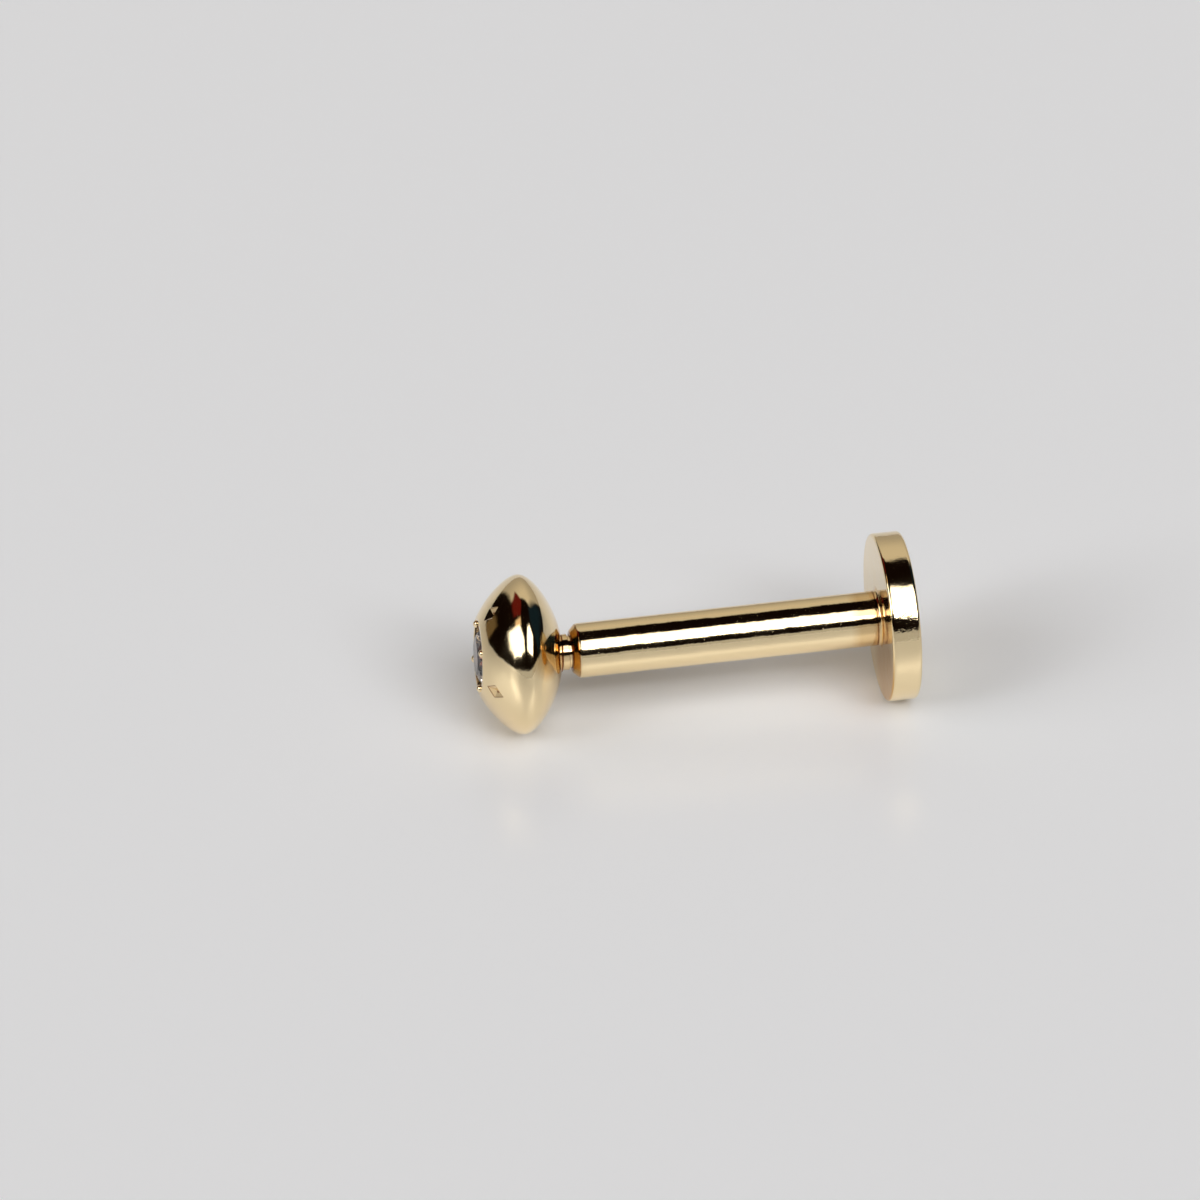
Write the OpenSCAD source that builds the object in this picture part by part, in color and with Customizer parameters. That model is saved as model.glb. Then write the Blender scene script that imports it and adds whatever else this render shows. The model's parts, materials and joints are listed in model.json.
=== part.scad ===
// A flat-back labret stud, in millimetres: a bored tube soldered to a flat disc, and a domed
// head with a small round stone, whose pin pushes into the tube.
// It lies on its side as it would by itself. The widest ring of the head and the rim of the disc
// touch z = 0, the tube points along +X from head to disc, and the origin is below its middle.

/* [Tube] */
// Outer diameter of the tube
tube_d = 1.02; // [0.9:0.02:2]
// Length of the tube, from its mouth to the disc
tube_len = 5.8; // [4:0.1:12]
// Width of the chamfer round the tube's mouth
mouth_chamfer = 0.13; // [0.03:0.01:0.3]
// Length of the tube that is left solid at the disc end
bore_floor = 1.2; // [0.4:0.1:2]
// Radius of the ring of solder between tube and disc
solder_r = 0.07; // [0.04:0.01:0.2]

/* [Disc] */
// Diameter of the flat disc
disc_d = 3.14; // [2.4:0.02:5]
// Thickness of the disc
disc_t = 0.55; // [0.3:0.01:1]
// Rounding of the disc's two edges
disc_round = 0.045; // [0.02:0.005:0.14]

/* [Head] */
// Diameter of the head at its widest ring
head_d = 2.97; // [2.4:0.01:5]
// Depth of the head in front of its widest ring
head_front = 0.8; // [0.6:0.01:1.6]
// Depth of the head behind its widest ring
head_back = 0.73; // [0.5:0.01:1.6]
// Width of the flat metal rim round the stone's seat
rim_w = 0.1; // [0.06:0.01:0.2]
// How far the head leans up from square to the pin, in degrees
lean_up = 3; // [0:0.5:6]
// How far the head leans to the far side, in degrees
lean_away = 2; // [0:0.5:6]

/* [Pin] */
// Diameter of the pin
pin_d = 0.6; // [0.4:0.02:0.66]
// Clearance between pin and bore, all round
pin_gap = 0.015; // [0.01:0.005:0.03]
// Empty length of bore past the pin's end
pin_play = 0.5; // [0.1:0.1:1]
// Height of the step from the pin up to the collar behind the head
collar_step = 0.035; // [0.025:0.005:0.06]
// Length of the collar
collar_len = 0.14; // [0.08:0.01:0.4]
// Gap left between the collar and the tube's mouth
seat_gap = 0.05; // [0.02:0.01:0.5]

/* [Stone] */
// Diameter of the round stone
stone_d = 1.2; // [0.9:0.05:1.4]
// Thickness of the stone's girdle
girdle_t = 0.03; // [0.01:0.01:0.06]
// Gap between the stone and its seat
stone_gap = 0.02; // [0.01:0.005:0.04]
// How far the stone's table stands out of the head's front
table_proud = 0.05; // [0:0.01:0.06]

/* [Star] */
// Number of engraved rays, with a grain of metal between each two
ray_count = 4; // [3:1:6]
// Width of a ray where it is widest
ray_w = 0.28; // [0.15:0.01:0.3]
// Depth of a ray where it is widest
ray_depth = 0.05; // [0.03:0.005:0.08]
// How far the star is turned about the head's axis, in degrees
ray_turn = 6; // [0:1:45]
// Diameter of a grain, which is pressed over the stone's edge
grain_d = 0.15; // [0.12:0.01:0.17]

/* [Hidden] */
$fn = 96;

// The stone's cut, as on any round brilliant: shares of its diameter, and slopes in degrees
TABLE_SHARE = 0.57;
STAR_SHARE = 0.5;
LOWER_SHARE = 0.76;
CROWN_SLOPE = 34.5;
PAVILION_SLOPE = 41;
MAINS = 8;

// The head's outline is two smooth curves. Each handle is [share of depth, share of height].
FRONT_HANDLES = [[0.825, 0.39], [0.32, 1]];
BACK_HANDLES = [[0.356, 1], [0.896, 0.46]];
CURVE_STEPS = 14;
ROUND_STEPS = 6;

// Where the rays start and end, as shares of the head's front curve, and where they are widest,
// as a share of their length
RAY_FROM = 0.15;
RAY_TO = 0.47;
RAY_WIDEST = 0.5;

// Shares of a grain's diameter: how far it stands out of the front, and how far in from the
// seat's wall its middle lies, over the edge of the stone
GRAIN_PROUD = 0.4;
GRAIN_OVER = 0.133;

// The most of the tube's wall that the chamfer may take away
CHAMFER_SHARE = 0.8;

// How much wider the head's back ends than the collar, and how deep the collar is let into it
NECK_STEP = 0.025;
COLLAR_ROOT = 0.1;

// Cuts start this far outside what they cut
CLEAR = 1;
SETTLING_ROUNDS = 12;

// Taking the head's back as the zero of the axis, places along it from head to disc
front_at = -head_back - head_front;
widest_at = -head_back;
mouth_at = collar_len + seat_gap;
disc_at = mouth_at + tube_len;
bore_r = pin_d / 2 + pin_gap;
bore_len = tube_len - bore_floor;
pin_end = mouth_at + bore_len - pin_play;
collar_r = pin_d / 2 + collar_step;
wall = tube_d / 2 - bore_r;
chamfer = min(mouth_chamfer, wall * CHAMFER_SHARE);
neck_r = collar_r + NECK_STEP;

// The stone, measured from its table down
table_r = stone_d / 2 * TABLE_SHARE;
crown_h = (stone_d / 2 - table_r) * tan(CROWN_SLOPE);
pavilion_h = stone_d / 2 * tan(PAVILION_SLOPE);
table_at = front_at - table_proud;
seat_r = stone_d / 2 + stone_gap;
flat_r = seat_r + rim_w;
grain_at = front_at + grain_d * (0.5 - GRAIN_PROUD);
grain_ring = seat_r - grain_d * GRAIN_OVER;

function curve(a, b, c, d, t) =
    pow(1 - t, 3) * a + 3 * pow(1 - t, 2) * t * b + 3 * (1 - t) * t * t * c + pow(t, 3) * d;
// Points [along the axis, radius] of the head's front and back, which lie between two rings
function front_point(t) = let (rise = head_d / 2 - flat_r, h = FRONT_HANDLES) curve(
    [front_at, flat_r],
    [widest_at - h[0][0] * head_front, flat_r + h[0][1] * rise],
    [widest_at - h[1][0] * head_front, flat_r + h[1][1] * rise],
    [widest_at, head_d / 2], t);
function back_point(t) = let (fall = head_d / 2 - neck_r, h = BACK_HANDLES) curve(
    [widest_at, head_d / 2],
    [widest_at + h[0][0] * head_back, neck_r + h[0][1] * fall],
    [widest_at + h[1][0] * head_back, neck_r + h[1][1] * fall],
    [0, neck_r], t);
function arc(at, r, from, to) =
    [for (i = [0:ROUND_STEPS]) let (a = from + (to - from) * i / ROUND_STEPS)
        [at[0] + r * cos(a), at[1] + r * sin(a)]];
head_outline = concat(
    [for (i = [0:CURVE_STEPS]) front_point(i / CURVE_STEPS)],
    [for (i = [1:CURVE_STEPS]) back_point(i / CURVE_STEPS)]);
disc_outline = concat(
    arc([disc_at + disc_round, disc_d / 2 - disc_round], disc_round, 180, 90),
    arc([disc_at + disc_t - disc_round, disc_d / 2 - disc_round], disc_round, 90, 0));
post_outline = concat(
    [[mouth_at, 0], [mouth_at, tube_d / 2 - chamfer], [mouth_at + chamfer, tube_d / 2]],
    arc([disc_at - solder_r, tube_d / 2 + solder_r], solder_r, -90, 0),
    disc_outline,
    [[disc_at + disc_t, 0]]);

// How the stud settles. An outline whose axis rises by the sine k reaches this far below the
// zero of the axis, and the tilt is found where head and disc reach down equally.
function reach(outline, k) = max([for (p = outline) p[1] * sqrt(1 - k * k) - p[0] * k]);
function head_rise(tilt) = cos(lean_away) * sin(tilt - lean_up);
function settle(tilt, rounds) = rounds < 1 ? tilt : settle(
    tilt + asin((reach(disc_outline, sin(tilt)) - reach(head_outline, head_rise(tilt))) / disc_at),
    rounds - 1);
tilt = settle(0, SETTLING_ROUNDS);
lift = reach(disc_outline, sin(tilt));
faces_left = cos(lean_away) * cos(tilt - lean_up);
left = max(reach(concat([[table_at, table_r]], head_outline), faces_left),
    reach([[grain_at, grain_ring]], faces_left) + grain_d / 2);
right = max([for (p = disc_outline) p[0] * cos(tilt) + p[1] * sin(tilt)]);

// Puts what is drawn along +Z, with its zero at the head's back, in the resting place
module lying() {
    translate([(left - right) / 2, 0, lift]) rotate([0, 90 - tilt, 0]) children();
}

// Leans what belongs to the head about the point where the pin leaves it
module leaning() {
    rotate([lean_away, lean_up, 0]) children();
}

// Turns an outline of [along, radius] points about the axis
module turned(outline) {
    rotate_extrude() polygon([for (p = outline) [p[1], p[0]]]);
}

module post() {
    color("goldenrod") lying() difference() {
        turned(post_outline);
        translate([0, 0, mouth_at - CLEAR]) cylinder(h = CLEAR + bore_len, r = bore_r);
    }
}

// A shallow cut of four facets with a point at both ends, along the head's front at its top. The
// facets run on past the surface to where the cutter is twice as wide as the cut.
module ray() {
    root = front_point(RAY_FROM);
    tip = front_point(RAY_TO);
    run = tip - root;
    widest = RAY_WIDEST * norm(run);
    translate([-root[1], 0, root[0]]) rotate([0, -atan2(run[1], run[0]), 0]) polyhedron(
        points = [[ray_depth, 0, widest],
            [-ray_depth, 0, -widest], [-ray_depth, -ray_w, widest],
            [-ray_depth, 0, 2 * norm(run) - widest], [-ray_depth, ray_w, widest]],
        faces = [[1, 2, 3, 4], [0, 2, 1], [0, 3, 2], [0, 4, 3], [0, 1, 4]]);
}

module grain() {
    translate([-grain_ring, 0, grain_at]) sphere(d = grain_d, $fn = 48);
}

// Repeats what is drawn at the top of the head, this far round from each ray
module each_ray(past = 0) {
    for (i = [0:ray_count - 1])
        rotate([0, 0, ray_turn + (i + past) * 360 / ray_count]) children();
}

// The hole that the stone sits in, with a straight wall round the girdle and a cone below it
module seat() {
    wall_end = table_at + crown_h + girdle_t + stone_gap;
    start = front_at - CLEAR;
    translate([0, 0, start]) cylinder(h = wall_end - start, r = seat_r);
    translate([0, 0, wall_end]) cylinder(h = seat_r * tan(PAVILION_SLOPE), r1 = seat_r, r2 = 0);
}

module head() {
    color("goldenrod") lying() {
        leaning() {
            difference() {
                turned(concat([[front_at, 0]], head_outline, [[0, 0]]));
                seat();
                each_ray() ray();
            }
            each_ray(past = 0.5) grain();
        }
        translate([0, 0, -COLLAR_ROOT]) cylinder(h = COLLAR_ROOT + collar_len, r = collar_r);
        cylinder(h = pin_end, d = pin_d);
    }
}

// A round brilliant: rings of corners from the table down to the culet, and the facets that join
// them, which are the table, stars, crown mains, upper halves, girdle, lower halves and mains
module stone() {
    n = round(MAINS);
    half = 180 / n;
    top = table_at + crown_h;
    low = top + girdle_t;
    star_r = table_r + STAR_SHARE * (stone_d / 2 - table_r);
    lower_r = stone_d / 2 * (1 - LOWER_SHARE);
    function main_top(r) = top - crown_h * (stone_d / 2 - r * cos(half)) / (stone_d / 2 - table_r);
    function main_low(r) = low + pavilion_h * (1 - r * cos(half) * 2 / stone_d);
    function ring(r, z, turn, count) =
        [for (i = [0:count - 1]) let (a = turn + i * 360 / count) [r * cos(a), r * sin(a), z]];
    table = ring(table_r, table_at, 0, n);
    stars = ring(star_r, main_top(star_r), half, n);
    girdle_top = ring(stone_d / 2, top, 0, 2 * n);
    girdle_low = ring(stone_d / 2, low, 0, 2 * n);
    lowers = ring(lower_r, main_low(lower_r), half, n);
    culet = [[0, 0, low + pavilion_h]];
    // The first corner of each ring in the list of corners
    s = len(table);
    g = s + len(stars);
    h = g + len(girdle_top);
    l = h + len(girdle_low);
    c = l + len(lowers);
    color("white") lying() leaning() polyhedron(
        points = concat(table, stars, girdle_top, girdle_low, lowers, culet),
        faces = concat(
            [[for (i = [0:n - 1]) i]],
            [for (i = [0:n - 1]) [i, s + i, (i + 1) % n]],
            [for (i = [0:n - 1]) [i, s + (i + n - 1) % n, g + 2 * i, s + i]],
            [for (i = [0:n - 1]) [s + i, g + 2 * i, g + 2 * i + 1]],
            [for (i = [0:n - 1]) [s + i, g + 2 * i + 1, g + (2 * i + 2) % (2 * n)]],
            [for (i = [0:2 * n - 1]) let (j = (i + 1) % (2 * n)) [g + i, h + i, h + j, g + j]],
            [for (i = [0:n - 1]) [l + i, h + 2 * i + 1, h + 2 * i]],
            [for (i = [0:n - 1]) [l + i, h + (2 * i + 2) % (2 * n), h + 2 * i + 1]],
            [for (i = [0:n - 1]) [c, l + i, h + 2 * i, l + (i + n - 1) % n]]),
        convexity = 2);
}

post();
head();
stone();
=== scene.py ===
"""The looks of a flat-back labret stud: polished gold, a star round a small clear stone, the
pale sheet that it lies on, and the two windows that light it. All lengths are in metres."""

import json
import math

import bpy
from bpy.props import FloatProperty, FloatVectorProperty, IntProperty, PointerProperty
from bpy.types import Operator, Panel, PropertyGroup
from mathutils import Matrix, Vector


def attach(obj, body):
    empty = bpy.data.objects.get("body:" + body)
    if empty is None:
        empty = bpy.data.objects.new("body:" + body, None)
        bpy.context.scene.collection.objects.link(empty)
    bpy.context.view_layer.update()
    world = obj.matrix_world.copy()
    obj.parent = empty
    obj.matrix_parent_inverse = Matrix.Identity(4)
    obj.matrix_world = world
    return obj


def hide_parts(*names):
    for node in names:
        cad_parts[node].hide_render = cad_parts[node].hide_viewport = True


bl_info = {
    "name": "Labret Stud",
    "version": (1, 0, 0),
    "blender": (4, 5, 0),
    "location": "3D View > Sidebar > Stud",
    "description": "Dresses a flat-back labret stud in polished gold with a star-set stone",
    "category": "Add Mesh",
}

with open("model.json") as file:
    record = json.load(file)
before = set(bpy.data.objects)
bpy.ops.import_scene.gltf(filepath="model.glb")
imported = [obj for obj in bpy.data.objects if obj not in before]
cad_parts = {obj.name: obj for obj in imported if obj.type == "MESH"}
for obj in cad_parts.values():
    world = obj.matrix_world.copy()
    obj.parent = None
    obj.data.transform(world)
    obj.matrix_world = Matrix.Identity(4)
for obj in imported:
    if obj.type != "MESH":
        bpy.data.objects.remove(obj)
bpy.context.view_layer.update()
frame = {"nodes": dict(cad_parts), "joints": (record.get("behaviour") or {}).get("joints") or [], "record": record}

MM = 0.001
MICRON = 0.000001


def length(name, description, value):
    return FloatProperty(name=name, description=description, default=value, min=0,
                         precision=6, subtype="DISTANCE", unit="LENGTH")


def angle(name, description, degrees):
    return FloatProperty(name=name, description=description, default=math.radians(degrees),
                         subtype="ANGLE", unit="ROTATION")


def colour(name, description, value):
    return FloatVectorProperty(name=name, description=description, default=value, size=3,
                               min=0, soft_max=1, subtype="COLOR")


def share(name, description, value):
    return FloatProperty(name=name, description=description, default=value, min=0, max=1,
                         subtype="FACTOR")


class PostSizes(PropertyGroup):
    """Sizes of the tube and the disc, measured along the stud from the back of its head"""

    mouth: length("Mouth", "From the back of the head to the tube's mouth", 0.19 * MM)
    tube_r: length("Tube Radius", "Outer radius of the tube", 0.51 * MM)
    tube_len: length("Tube Length", "Length of the tube from its mouth to the disc", 5.8 * MM)
    bore_r: length("Bore Radius", "Radius of the bore", 0.315 * MM)
    bore_len: length("Bore Length", "Depth of the bore", 4.6 * MM)
    chamfer: length("Chamfer", "Width of the chamfer round the mouth", 0.13 * MM)
    chamfer_edge: length("Chamfer Rounding", "Rounding of the chamfer's edges", 0.045 * MM)
    solder_r: length("Solder Radius", "Radius of the ring of solder at the disc", 0.07 * MM)
    disc_r: length("Disc Radius", "Radius of the flat disc", 1.57 * MM)
    disc_t: length("Disc Thickness", "Thickness of the flat disc", 0.55 * MM)
    disc_round: length("Disc Rounding", "Rounding of the disc's edges", 0.07 * MM)
    edge: length("Edge Rounding", "Rounding left on a turned edge by polishing", 0.012 * MM)


class HeadSizes(PropertyGroup):
    """Sizes of the head, its pin and its star"""

    radius: length("Radius", "Radius of the head at its widest ring", 1.485 * MM)
    front: length("Front", "Depth in front of the widest ring", 0.8 * MM)
    back: length("Back", "Depth behind the widest ring", 0.73 * MM)
    flat_r: length("Flat Radius", "Radius of the flat in front", 0.72 * MM)
    seat_r: length("Seat Radius", "Radius of the hole that holds the stone", 0.62 * MM)
    seat_wall: length("Seat Wall", "Depth of the straight wall of that hole", 0.177 * MM)
    neck_r: length("Neck Radius", "Radius that the back of the head ends in", 0.36 * MM)
    collar_r: length("Collar Radius", "Radius of the collar", 0.335 * MM)
    collar_len: length("Collar Length", "Length of the collar", 0.14 * MM)
    solder_r: length("Solder Radius", "Radius of the ring of solder at the collar", 0.03 * MM)
    pin_r: length("Pin Radius", "Radius of the pin", 0.3 * MM)
    pin_end: length("Pin End", "From the back of the head to the end of its pin", 4.29 * MM)
    lean_up: angle("Lean Up", "How far the head leans up from square to its pin", 3)
    lean_away: angle("Lean Away", "How far the head leans to the far side", 2)
    rays: IntProperty(name="Rays", description="Engraved rays, with a grain between each two",
                      default=4, min=3, max=8)
    ray_w: length("Ray Width", "Width of a ray where it is widest", 0.28 * MM)
    ray_depth: length("Ray Depth", "Depth of a ray where it is widest", 0.05 * MM)
    ray_turn: angle("Star Turn", "How far the star is turned about the head's axis", 6)
    grain_r: length("Grain Radius", "Radius of a grain of metal", 0.075 * MM)
    grain_ring: length("Grain Ring", "Radius of the ring that the grains lie on", 0.6 * MM)
    grain_in: length("Grain Depth", "From the front to the middle of a grain", 0.015 * MM)
    edge: length("Edge Rounding", "Rounding left on a turned edge by polishing", 0.01 * MM)


class Finish(PropertyGroup):
    """Colours and wear of the metal, its painted shade, and the stone's painted tint"""

    gold: colour("Gold", "Colour of the polished gold", (0.93, 0.75, 0.455))
    # The darker, more orange gold below is painted shade round the neck, on the chamfer, on the head's back and on
    # the disc's inner face, and tints the tube's end; on the rays' facets it is tarnish
    tarnish_and_painted_shade: colour("Tarnish", "Colour of the gold where polishing doesn't reach",
                    (0.62, 0.34, 0.075))
    soil: colour("Soil", "Colour of what is left in the cuts", (0.24, 0.07, 0.015))
    roughness: share("Roughness", "Roughness of the clean polish", 0.06)
    # The stone itself is clear; its warm tint is a painted reflection of the brown seat behind it
    stone: colour("Stone", "Colour of the clear stone", (0.86, 0.74, 0.62))


class Studio(PropertyGroup):
    """The sheet that the stud lies on, and the light round it"""

    sheet: colour("Sheet", "Colour of the pale sheet", (0.92, 0.935, 0.965))
    windows: FloatProperty(name="Windows", description="Brightness of the windows' edges",
                           default=2.3)
    hearts: FloatProperty(name="Window Hearts", description="Brightness of the windows' middles",
                          default=8)
    backdrop: colour("Backdrop", "Colour of the sheet behind", (0.61, 0.56, 0.475))
    dark: colour("Dark", "Colour of the dark room", (0.0045, 0.002, 0.001))
    table: colour("Table", "Colour of the table past the sheet", (0.46, 0.46, 0.46))
    beyond: colour("Beyond", "Colour past the sheet's end", (0.66, 0.66, 0.65))
    azimuth: angle("Azimuth", "Direction that the camera looks from", -9.4)
    elevation: angle("Elevation", "Height that the camera looks from", 34.5)
    lens: FloatProperty(name="Lens", description="Focal length, in millimetres", default=360)


def stud_axis():
    """The direction from the head to the disc, as the CAD has it"""
    (pull,) = frame["joints"]
    return -Vector(pull["axis"]).normalized()


def head_back(sizes):
    """The middle of the head's back, as the CAD has it"""
    (disc_back,) = [m for m in frame["record"]["mounts"] if m["name"] == "disc_back"]
    reach = sizes.mouth + sizes.tube_len + sizes.disc_t
    return Vector(disc_back["pos_m"]) - stud_axis() * reach


def lying(sizes):
    """Turns a piece made along +Z, with the head's back at zero, to the place where it lies"""
    axis = stud_axis()
    turn = Matrix.Rotation(math.pi / 2 - math.asin(axis.z), 4, "Y")
    return Matrix.Translation(head_back(sizes)) @ turn


def leaning(head):
    """Leans the lens of the head about the point where the pin leaves it"""
    return Matrix.Rotation(head.lean_up, 4, "Y") @ Matrix.Rotation(head.lean_away, 4, "X")


# Outlines, as points of (along the axis, radius)
CURVE_STEPS = 88
CORNER_STEPS = 5
STEPS_AROUND = 256
# A long straight run gets a ring this close to each end, so that its shading stays flat
HOLD = 6 * MICRON
LONG_RUN = 10 * HOLD
# Points closer than this are one, which closes the seam and the poles of a turned solid
SEAM = 0.01 * MICRON
FRONT_HANDLES = ((0.825, 0.39), (0.32, 1))
BACK_HANDLES = ((0.356, 1), (0.896, 0.46))
SOLDER_BEND = 0.55
SOLDER_STEPS = 12
COLLAR_SOLDER_STEPS = 8
# Slope of the stone's pavilion, which the bottom of its seat follows, in degrees
PAVILION_SLOPE = 41
# How deep the collar is let into the head
COLLAR_ROOT = 0.1 * MM
# Rounding of the pin's end, as a multiple of the other edges'
PIN_END_ROUNDING = 4
# The most that the faces at an edge turn, in degrees, where they are still shaded as one
TURNED_SMOOTH = 28
CUT_SMOOTH = 13


def bezier(a, b, c, d, steps=CURVE_STEPS):
    """Points of a smooth curve from a to d, both ends included"""
    points = []
    for i in range(steps + 1):
        t = i / steps
        u = 1 - t
        points.append(u**3 * a + 3 * u * u * t * b + 3 * u * t * t * c + t**3 * d)
    return points


def rounded(corners):
    """Rounds each corner of (along, radius, rounding), and holds the long straight runs flat"""
    places = [Vector(c[:2]) for c in corners]
    points = [places[0]]
    for before, here, after, (_, _, size) in zip(places, places[1:], places[2:], corners[1:]):
        if size == 0:
            points.append(here)
            continue
        back = (before - here).normalized() * size
        on = (after - here).normalized() * size
        for i in range(CORNER_STEPS + 1):
            t = i / CORNER_STEPS
            points.append(here + back * (1 - t) ** 2 + on * t**2)
    points.append(places[-1])
    held = [points[0]]
    for here, after in zip(points, points[1:]):
        run = after - here
        if run.length > LONG_RUN:
            held += [here + run.normalized() * HOLD, after - run.normalized() * HOLD]
        held.append(after)
    return held


def post_outline(s):
    """Up the bore, out round the mouth, along the tube, over the solder and round the disc"""
    bore_end = s.mouth + s.bore_len
    disc = s.mouth + s.tube_len
    solder = [Vector((disc - s.solder_r, s.tube_r)), Vector((disc, s.tube_r + s.solder_r))]
    corner = Vector((disc, s.tube_r))
    fillet = bezier(solder[0], solder[0].lerp(corner, SOLDER_BEND),
                    solder[1].lerp(corner, SOLDER_BEND), solder[1], SOLDER_STEPS)
    return rounded(
        [(bore_end, 0, 0), (bore_end, s.bore_r, s.edge), (s.mouth, s.bore_r, s.edge),
         (s.mouth, s.tube_r - s.chamfer, s.chamfer_edge),
         (s.mouth + s.chamfer, s.tube_r, s.chamfer_edge)]
        + [(p.x, p.y, 0) for p in fillet]
        + [(disc, s.disc_r, s.disc_round), (disc + s.disc_t, s.disc_r, s.disc_round),
           (disc + s.disc_t, 0, 0)])


def front_curve(s):
    """From the rim of the flat to the widest ring"""
    rise = s.radius - s.flat_r
    widest = -s.back
    (a, b), (c, d) = FRONT_HANDLES
    return bezier(Vector((widest - s.front, s.flat_r)),
                  Vector((widest - a * s.front, s.flat_r + b * rise)),
                  Vector((widest - c * s.front, s.flat_r + d * rise)),
                  Vector((widest, s.radius)))


def back_curve(s):
    """From the widest ring to the neck"""
    fall = s.radius - s.neck_r
    widest = -s.back
    (a, b), (c, d) = BACK_HANDLES
    return bezier(Vector((widest, s.radius)),
                  Vector((widest + a * s.back, s.neck_r + b * fall)),
                  Vector((widest + c * s.back, s.neck_r + d * fall)),
                  Vector((0, s.neck_r)))


def lens_outline(s):
    """From the bottom of the stone's seat, out over the front and round to the back"""
    front = -s.back - s.front
    wall_end = front + s.seat_wall
    depth = s.seat_r * math.tan(math.radians(PAVILION_SLOPE))
    domed = front_curve(s)[1:] + back_curve(s)[1:-1]
    return rounded(
        [(wall_end + depth, 0, 0), (wall_end, s.seat_r, s.edge), (front, s.seat_r, s.edge),
         (front, s.flat_r, s.edge)]
        + [(p.x, p.y, 0) for p in domed]
        + [(0, s.neck_r, s.edge), (0, 0, 0)])


def shank_outline(s):
    """The collar, with its ring of solder, and the pin"""
    steps = COLLAR_SOLDER_STEPS
    turns = [math.pi / 2 * i / steps for i in range(steps + 1)]
    fillet = [(s.solder_r * (1 - math.sin(a)), s.collar_r + s.solder_r * (1 - math.cos(a)), 0)
              for a in turns]
    return rounded([(-COLLAR_ROOT, 0, 0), (-COLLAR_ROOT, s.collar_r + s.solder_r, 0)]
                   + fillet[::-1]
                   + [(s.collar_len, s.collar_r, s.edge), (s.collar_len, s.pin_r, s.edge),
                      (s.pin_end, s.pin_r, PIN_END_ROUNDING * s.edge), (s.pin_end, 0, 0)])


# Node trees
class Builder:
    """Adds nodes to a tree and links them by the order of their sockets"""

    def __init__(self, tree):
        self.tree = tree

    def add(self, kind, *inputs, **settings):
        node = self.tree.nodes.new(kind)
        for name, value in settings.items():
            setattr(node, name, value)
        for socket, value in zip(node.inputs, inputs):
            self.feed(socket, value)
        return node

    def feed(self, socket, value):
        """Links an output to this input, or else sets the input's value"""
        if isinstance(value, bpy.types.NodeSocket):
            self.tree.links.new(value, socket)
        elif value is not None:
            socket.default_value = value

    def math(self, operation, *inputs):
        return self.add("ShaderNodeMath", *inputs, operation=operation).outputs[0]

    def vector(self, operation, *inputs):
        return self.add("ShaderNodeVectorMath", *inputs, operation=operation).outputs[0]

    def size(self, vector):
        node = self.add("ShaderNodeVectorMath", vector, operation="LENGTH")
        return node.outputs["Value"]

    def ramp(self, value, low, high, to_low=0.0, to_high=1.0, way="LINEAR"):
        node = self.add("ShaderNodeMapRange", value, low, high, to_low, to_high,
                        interpolation_type=way)
        return node.outputs[0]

    def smooth(self, value, low, high, to_low=0.0, to_high=1.0):
        return self.ramp(value, low, high, to_low, to_high, "SMOOTHSTEP")

    def noise(self, place, scale, detail, grain=0.5):
        node = self.add("ShaderNodeTexNoise", noise_dimensions="3D")
        for name, value in {"Vector": place, "Scale": scale, "Detail": detail,
                            "Roughness": grain}.items():
            self.feed(node.inputs[name], value)
        return node.outputs[0]

    def laid_over(self, under, over, mask):
        """One colour over another, where the mask is 1"""
        node = self.add("ShaderNodeMix", data_type="RGBA", clamp_factor=True)
        for socket, value in ((0, mask), (6, under), (7, over)):
            self.feed(node.inputs[socket], value)
        return node.outputs[2]


def shared(name, make):
    """The node group of this name, which is made the first time that it is asked for"""
    return bpy.data.node_groups.get(name) or make(name)


def new_tree(name, kind, inputs, outputs):
    """A node tree with named inputs (name, socket, default) and outputs (name, socket)"""
    tree = bpy.data.node_groups.new(name, kind)
    for label, socket, value in inputs:
        made = tree.interface.new_socket(label, in_out="INPUT", socket_type=socket)
        if value is not None:
            made.default_value = value
    for label, socket in outputs:
        tree.interface.new_socket(label, in_out="OUTPUT", socket_type=socket)
    return tree, Builder(tree), tree.nodes.new("NodeGroupInput"), tree.nodes.new("NodeGroupOutput")


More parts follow.
